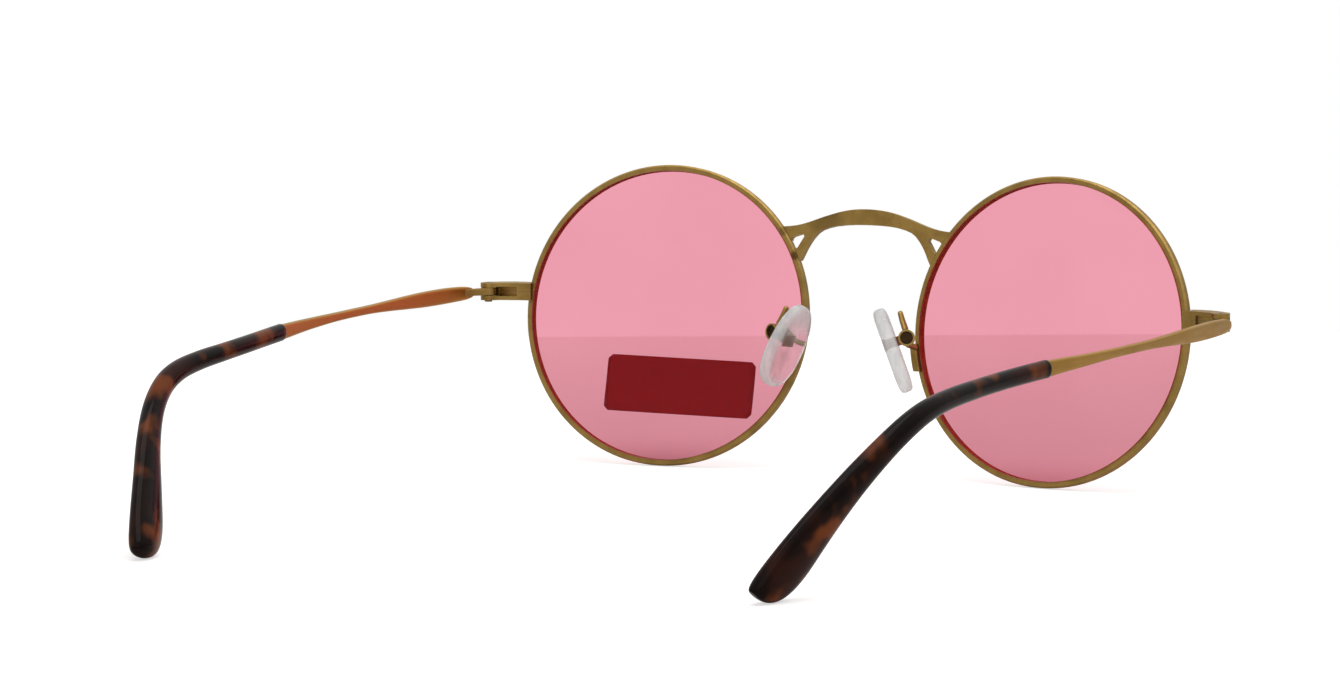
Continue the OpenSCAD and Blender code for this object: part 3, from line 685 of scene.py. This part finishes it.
# share of the run: share of the tip's width, share of its thickness
tip_size = np.array([
    [0.51, 0.318, 0.58], [0.625, 0.322, 0.64], [0.717, 0.345, 0.68], [0.763, 0.368, 0.72],
    [0.794, 0.4, 0.75], [0.826, 0.437, 0.78], [0.851, 0.465, 0.81], [0.876, 0.52, 0.84],
    [0.902, 0.61, 0.87], [0.928, 0.74, 0.91], [0.946, 0.84, 0.94], [0.964, 0.93, 0.98],
    [0.98, 0.985, 1], [1, 1, 1]])


def fade(share, start, power):
    """1 up to the start and then (1 - u^power)^(1/power), with u from 0 there to 1 at the end."""
    u = np.clip((share - start) / (1 - start), 0, 1)
    return (1 - u ** power) ** (1 / power)


def tip_rings():
    """From the blind end of the bore forward to the mouth, over a small rounded lip, and back
    along the outside to the closed end. There the width fades first, towards the tip's upper
    edge, which slants the end, and then the thickness."""
    share = np.linspace(core_end + bore_behind, tip_joint, bore_steps)
    bore = round_route(share, core_height + bore_gap + 0 * share,
                       core_thickness + bore_gap + 0 * share, core_power, tip_around)
    straight = np.linspace(tip_joint + lip_end, slant_from, tip_steps)
    late = np.sin(np.linspace(0.03, 0.995, end_steps) * np.pi / 2)
    share = np.r_[tip_joint + mouth_lip[:, 0], straight, slant_from + (1 - slant_from) * late]
    trim = np.r_[mouth_lip[:, 1], np.zeros(tip_steps + end_steps)]
    size = follow(tip_size, share)
    width = tip_width * size[:, 0]
    narrow = fade(share, slant_from, slant_power)
    thickness = (tip_thickness * size[:, 1] - trim) * fade(share, round_from, round_power)
    outside = round_route(share, (width - trim) * narrow, thickness, tip_power, tip_around,
                          slant_skew * width / 2 * (1 - narrow))
    return np.concatenate([bore, outside])


def make_tortoise():
    """Near black brown acetate with amber clouds, in three sizes of noise, under a polish."""
    material, tree, shader = new_material("dark tortoise acetate")
    coords = own_place(tree)
    where = stretched(tree, coords, (1.0, 0.7, 0.8), shift=(0, 0, 0.02))
    broad = spread(tree, noise(tree, where, 110, 2, 0.5), 0.49, 0.65, 0, 1)
    spots = spread(tree, noise(tree, where, 190, 2, 0.5), 0.5, 0.7, 0, 1)
    flecks = spread(tree, noise(tree, where, 700, 2, 0.6), 0.5, 0.7, 0, 0.4)
    body = blend_colours(tree, broad, (0.005, 0.0026, 0.002, 1), (0.024, 0.0062, 0.0035, 1))
    body = blend_colours(tree, flecks, body, (0.018, 0.006, 0.0035, 1))
    body = blend_colours(tree, spots, body, (0.15, 0.037, 0.008, 1))
    link(tree, body, shader.inputs["Base Color"])
    polish = spread(tree, noise(tree, coords, 600, 3, 0.5), 0.3, 0.7, 0.06, 0.12)
    link(tree, polish, shader.inputs["Roughness"])
    shader.inputs["Specular IOR Level"].default_value = 0.06
    return material


tortoise = make_tortoise()
for side_name, side in sides:
    tip = skin(f"temple_tip_{side_name}", on_side(tip_rings(), side), tortoise)
    place(tip, f"{side_name}_temple", "tip", f"tip_{side_name}")

# Pad arms
# A gold wire stands on a foot brazed to the rim, runs back, is bent up and over, and carries a
# round box in which a small sunk screw holds the pad's tab.

arm_radius = 0.425
pad_splay = np.radians(23)
pad_flare = np.radians(23)
pad_tip = np.radians(6.5)
rim_outer = 25.9
# the foot's place on the rim: share of the rim's radius below its middle, depth in, reach back
foot_drop = 0.19
foot_in = 0.35
foot_reach = 1.65
start_from_foot = np.array([-0.1, -0.35, 1.3])
crest_from_box = np.array([-1.55, -0.25, 4.1])
top_from_box = np.array([0.15, 0, 1.38])
# points of the arm's line from which the wire shows and at which it ends
arm_first = 0.25
arm_last = 7
arm_step = 0.02
# a direction that the wire never takes
arm_guide = np.array([1, 0.2, 0.1])
foot_edge = 0.1
arm_around = 28
arm_steps = 150


def lay_back(points):
    """Points of the standing front, in millimetres of the frame, back in the front's own plane."""
    c, s = np.cos(lean), np.sin(lean)
    return (points - front_origin / mm) @ np.array([[1, 0, 0], [0, c, -s], [0, s, c]])


def pad_axes(points):
    """Points in the pad's own axes, sloped by its flare and then opened by its splay."""
    c, s = np.cos(pad_flare), np.sin(pad_flare)
    sloped = points @ np.array([[c, 0, s], [0, 1, 0], [-s, 0, c]])
    return turn_z(sloped, -pad_splay)


box_middle = lay_back(joint_at("left_pad_rock"))
foot_z = -foot_drop * rim_outer
foot_radius = rim_outer - foot_in
foot_across = np.sqrt(foot_radius ** 2 - foot_z ** 2)
foot_x = eye_out / mm - foot_across * np.cos(wrap)
foot_y = -foot_across * np.sin(wrap) + foot_reach * np.cos(wrap)
box_top = box_middle + pad_axes(top_from_box)
arm_start = np.array([foot_x, foot_y, foot_z]) + start_from_foot
arm_top = box_middle + crest_from_box
# number of the point: its place in the plane of the front
arm_table = np.array([
    [0, *arm_start],
    [1, *(arm_start + np.array([-0.08, 1.3, 0.15]))],
    [2, *(arm_start + np.array([-0.25, 3.5, 0.6]))],
    [3, *(arm_top + np.array([0.7, -1.4, -3.1]))],
    [4, *(arm_top + np.array([0.3, -0.5, -1.2]))],
    [5, *arm_top],
    [6, *(arm_top + np.array([0.45, 0.2, -1.2]))],
    [arm_last, *box_top]])


def arm_rings():
    """Circles of the wire's radius square to a smooth line through the arm's points."""
    share = np.linspace(arm_first, arm_last, arm_steps)
    line = follow(arm_table, share)
    ahead = (follow(arm_table, np.minimum(share + arm_step, arm_last))
             - follow(arm_table, np.maximum(share - arm_step, 0)))
    ahead /= np.linalg.norm(ahead, axis=1, keepdims=True)
    aside = np.cross(ahead, arm_guide)
    aside /= np.linalg.norm(aside, axis=1, keepdims=True)
    up = np.cross(aside, ahead)
    t = 2 * np.pi * np.arange(arm_around) / arm_around
    turn = aside[:, None] * np.cos(t)[None, :, None] + up[:, None] * np.sin(t)[None, :, None]
    return line[:, None] + arm_radius * turn


insert_metal = make_metal("brown pad insert", (0.24, 0.09, 0.05), (0.11, 0.045, 0.025),
                          (0.32, 0.16, 0.1), roughness=0.4)
for side_name, side in sides:
    arm = skin(f"arm_wire_{side_name}", stood(arm_rings(), stand_front, side), antique_gold)
    place(arm, "front", "gold", f"pad_arm_{side_name}")
    soften(f"pad_foot_{side_name}", f"arm_foot_{side_name}", foot_edge, "front")
    soften(f"pad_box_{side_name}", f"arm_box_{side_name}", small_edge, "front")
    dress([f"pad_insert_{side_name}"], insert_metal)

# Nose pads
# Clear soft plastic moulded round a small metal insert, domed on the side towards the nose.

pad_length = 14.8
pad_width = 7.2
pad_thickness = 2.5
# the pad's middle from the box's: a tab's length and a gap towards the nose, forwards, down
tab_length = 1.4
tab_gap = 0.25
pad_stand = np.array([-(pad_thickness / 2 + tab_gap + tab_length), -0.55, -1.2])
pad_around = 72
pad_steps = 44


def pad_rings():
    """Egg outlines stacked through the pad's thickness, x = -cos(v) t / 2 from the nose side to
    the arm side, each shrunk by a soft edge k = (1 - |cos v|^4)^(1/4); the outline is
    y = w / 2 cos^0.85 (1 - 0.1 sin), z = l / 2 sin^0.9, turned forwards by the pad's tip."""
    v = np.linspace(0.02, 0.98, pad_steps) * np.pi
    depth = -np.cos(v)
    k = (1 - np.abs(depth) ** 4) ** (1 / 4)
    t = 2 * np.pi * (np.arange(pad_around) + 0.5) / pad_around
    c = np.sign(np.cos(t)) * np.abs(np.cos(t)) ** 0.85
    s = np.sign(np.sin(t)) * np.abs(np.sin(t)) ** 0.9
    k = k[:, None]
    y = k * pad_width / 2 * c * (1 - 0.1 * np.sin(t))
    z = (pad_length / 2 - pad_width / 2 * (1 - k)) * s * np.where(k < 0.4, k / 0.4, 1)
    x = depth[:, None] * pad_thickness / 2 + 0 * t
    turned_y = y * np.cos(pad_tip) - z * np.sin(pad_tip)
    turned_z = y * np.sin(pad_tip) + z * np.cos(pad_tip)
    return np.stack([x, turned_y, turned_z], -1)


def make_pad_plastic():
    """Clear plastic, frosted where the number that each point keeps under wall nears 1."""
    material, tree, shader = new_material("clear pad plastic")
    coords = own_place(tree)
    wall = stored(tree, "wall")
    drawn = stretched(tree, coords, (1.0, 1.0, 0.3))
    milk = spread(tree, noise(tree, drawn, 700, 3, 0.6), 0.35, 0.65, 0, 1)
    frosted = blend_colours(tree, milk, (0.66, 0.665, 0.665, 1), (0.8, 0.8, 0.795, 1))
    bare = blend_colours(tree, milk, (0.76, 0.75, 0.74, 1), (0.92, 0.92, 0.91, 1))
    link(tree, blend_colours(tree, wall, bare, frosted), shader.inputs["Base Color"])
    matt = spread(tree, noise(tree, coords, 800, 3, 0.5), 0.3, 0.7, 0.12, 0.22)
    link(tree, matt, shader.inputs["Roughness"])
    clear = spread(tree, wall, 0, 1, 0.9, 0.36, smooth=False)
    link(tree, clear, shader.inputs["Transmission Weight"])
    shader.inputs["IOR"].default_value = 1.15
    shader.inputs["Specular IOR Level"].default_value = 0.25
    return material


def pad_frost(points):
    """How frosted a pad is at points in its own axes: the wall between its two broad faces,
    growing towards the rear, and up to 0.8 towards the upper end."""
    x, y, z = points.T
    between = np.clip((0.97 - np.abs(x) / (pad_thickness / 2)) / 0.1, 0, 1)
    rear = np.clip((y + 2) / 2.5, 0, 1)
    upper = np.clip((z - 1.5) / 4.5, 0, 0.8)
    return np.maximum(between * rear, upper)


pad_plastic = make_pad_plastic()
pad_shape = pad_rings()
pad_points = pad_shape.reshape(-1, 3)
pad_hung = (pad_axes(pad_points + pad_stand) + box_middle).reshape(pad_shape.shape)
for side_name, side in sides:
    pad = skin(f"soft_pad_{side_name}", stood(pad_hung, stand_front, side), pad_plastic)
    store(pad, "wall", np.r_[pad_frost(pad_points), 0, 0])
    place(pad, f"{side_name}_pad", "pad", f"nose_pad_{side_name}")

# Table, light and camera
# A white table with its far edge behind the glasses, a white room, one broad soft light above
# and a weaker one beside the camera. The camera stands behind the wearer's right ear.

camera_at = Vector(front_origin) + Vector((-0.3873, 0.8106, 0.08586))
aim_at = Vector(front_origin) + Vector((0.03511, 0.00064, -0.00592))
camera_tilt = np.radians(-0.25)
table_depth = 0.226
table_near = 2.0
table_half = 2.2
glow_depth = 0.2
back = (camera_at - aim_at).normalized()
camera_data = bpy.data.cameras.new("camera")
camera_data.sensor_width = 36
camera_data.lens = 143.33
camera_data.clip_start = 0.01
camera = put_in_scene("camera", camera_data)
camera.matrix_world = (Matrix.Translation(camera_at)
                       @ (-back).to_track_quat("-Z", "Y").to_matrix().to_4x4()
                       @ Matrix.Rotation(camera_tilt, 4, "Z"))
bpy.context.scene.camera = camera


def seen_plainly(tree):
    """1 for rays from the camera or through glass, and 0 for the rest."""
    path = tree.nodes.new("ShaderNodeLightPath")
    return reckon(tree, "MAXIMUM", path.outputs["Is Camera Ray"],
                  path.outputs["Is Transmission Ray"])


def make_room():
    """A white room: full white where it is seen plainly and an even soft light for the object.
    What a gloss mirrors is darker near the floor than overhead, as in a room with walls."""
    world = bpy.data.worlds.new("white room")
    bpy.context.scene.world = world
    world.use_nodes = True
    tree = world.node_tree
    shine = tree.nodes["Background"]
    shine.inputs["Color"].default_value = (1, 1, 1, 1)
    path = tree.nodes.new("ShaderNodeLightPath")
    level = spread(tree, seen_plainly(tree), 0, 1, 0.6, 1.0, smooth=False)
    height = tree.nodes.new("ShaderNodeSeparateXYZ")
    link(tree, tree.nodes.new("ShaderNodeTexCoord").outputs["Generated"], height.inputs[0])
    mirrored = spread(tree, height.outputs["Z"], -0.1, 0.8, 0.5, 1.1)
    off_gloss = reckon(tree, "GREATER_THAN", path.outputs["Is Glossy Ray"],
                       path.outputs["Is Transmission Ray"])
    pick = tree.nodes.new("ShaderNodeMix")
    link(tree, off_gloss, pick.inputs[0])
    link(tree, level, pick.inputs[2])
    link(tree, mirrored, pick.inputs[3])
    link(tree, pick.outputs[0], shine.inputs["Strength"])


make_room()


def make_table():
    """A flat white sheet from under the camera to the table's far edge, which lies square to the
    camera's line of sight. It shines white to the camera. Through the lenses it is a little
    greyer than the room behind it, and lighter towards its far edge."""
    sight = Vector((-back.x, -back.y, 0)).normalized()
    across = Vector((-sight.y, sight.x, 0))
    middle = Vector((aim_at.x, aim_at.y, 0))
    far = middle + sight * table_depth
    near = middle - sight * table_near
    half = across * table_half
    corners = [far + half, far - half, near - half, near + half]
    mesh = bpy.data.meshes.new("table")
    mesh.from_pydata([(*c.xy, 0.0) for c in corners], [], [(0, 1, 2, 3)])
    if mesh.polygons[0].normal.z < 0:
        mesh.flip_normals()
    table = put_in_scene("table", mesh)
    material, tree, shader = new_material("white table")
    shader.inputs["Base Color"].default_value = (0.67, 0.635, 0.615, 1)
    shader.inputs["Roughness"].default_value = 0.9
    shader.inputs["Emission Color"].default_value = (1, 1, 1, 1)
    path = tree.nodes.new("ShaderNodeLightPath")
    spot = tree.nodes.new("ShaderNodeVectorMath")
    spot.operation = "DOT_PRODUCT"
    link(tree, own_place(tree), spot.inputs[0])
    spot.inputs[1].default_value = sight
    edge = far.dot(sight)
    far_glow = spread(tree, spot.outputs["Value"], edge - glow_depth, edge, 0.005, 0.18,
                      smooth=False)
    through = reckon(tree, "MULTIPLY", path.outputs["Is Transmission Ray"], far_glow)
    glow = spread(tree, path.outputs["Is Camera Ray"], 0, 1, 0.05, 0.56, smooth=False)
    link(tree, reckon(tree, "ADD", glow, through), shader.inputs["Emission Strength"])
    mesh.materials.append(material)


make_table()


def add_lamp(name, place_at, size, power):
    """A square soft light that faces the glasses."""
    data = bpy.data.lights.new(name, "AREA")
    data.size = size
    data.energy = power
    lamp = put_in_scene(name, data)
    lamp.location = place_at
    lamp.rotation_euler = (aim_at - Vector(place_at)).to_track_quat("-Z", "Y").to_euler()


add_lamp("ceiling light", (-0.1, 0.1, 0.9), size=0.8, power=4.5)
add_lamp("side light", (-0.7, 0.9, 0.5), size=0.8, power=1.2)

bpy.context.scene.view_settings.view_transform = "Standard"
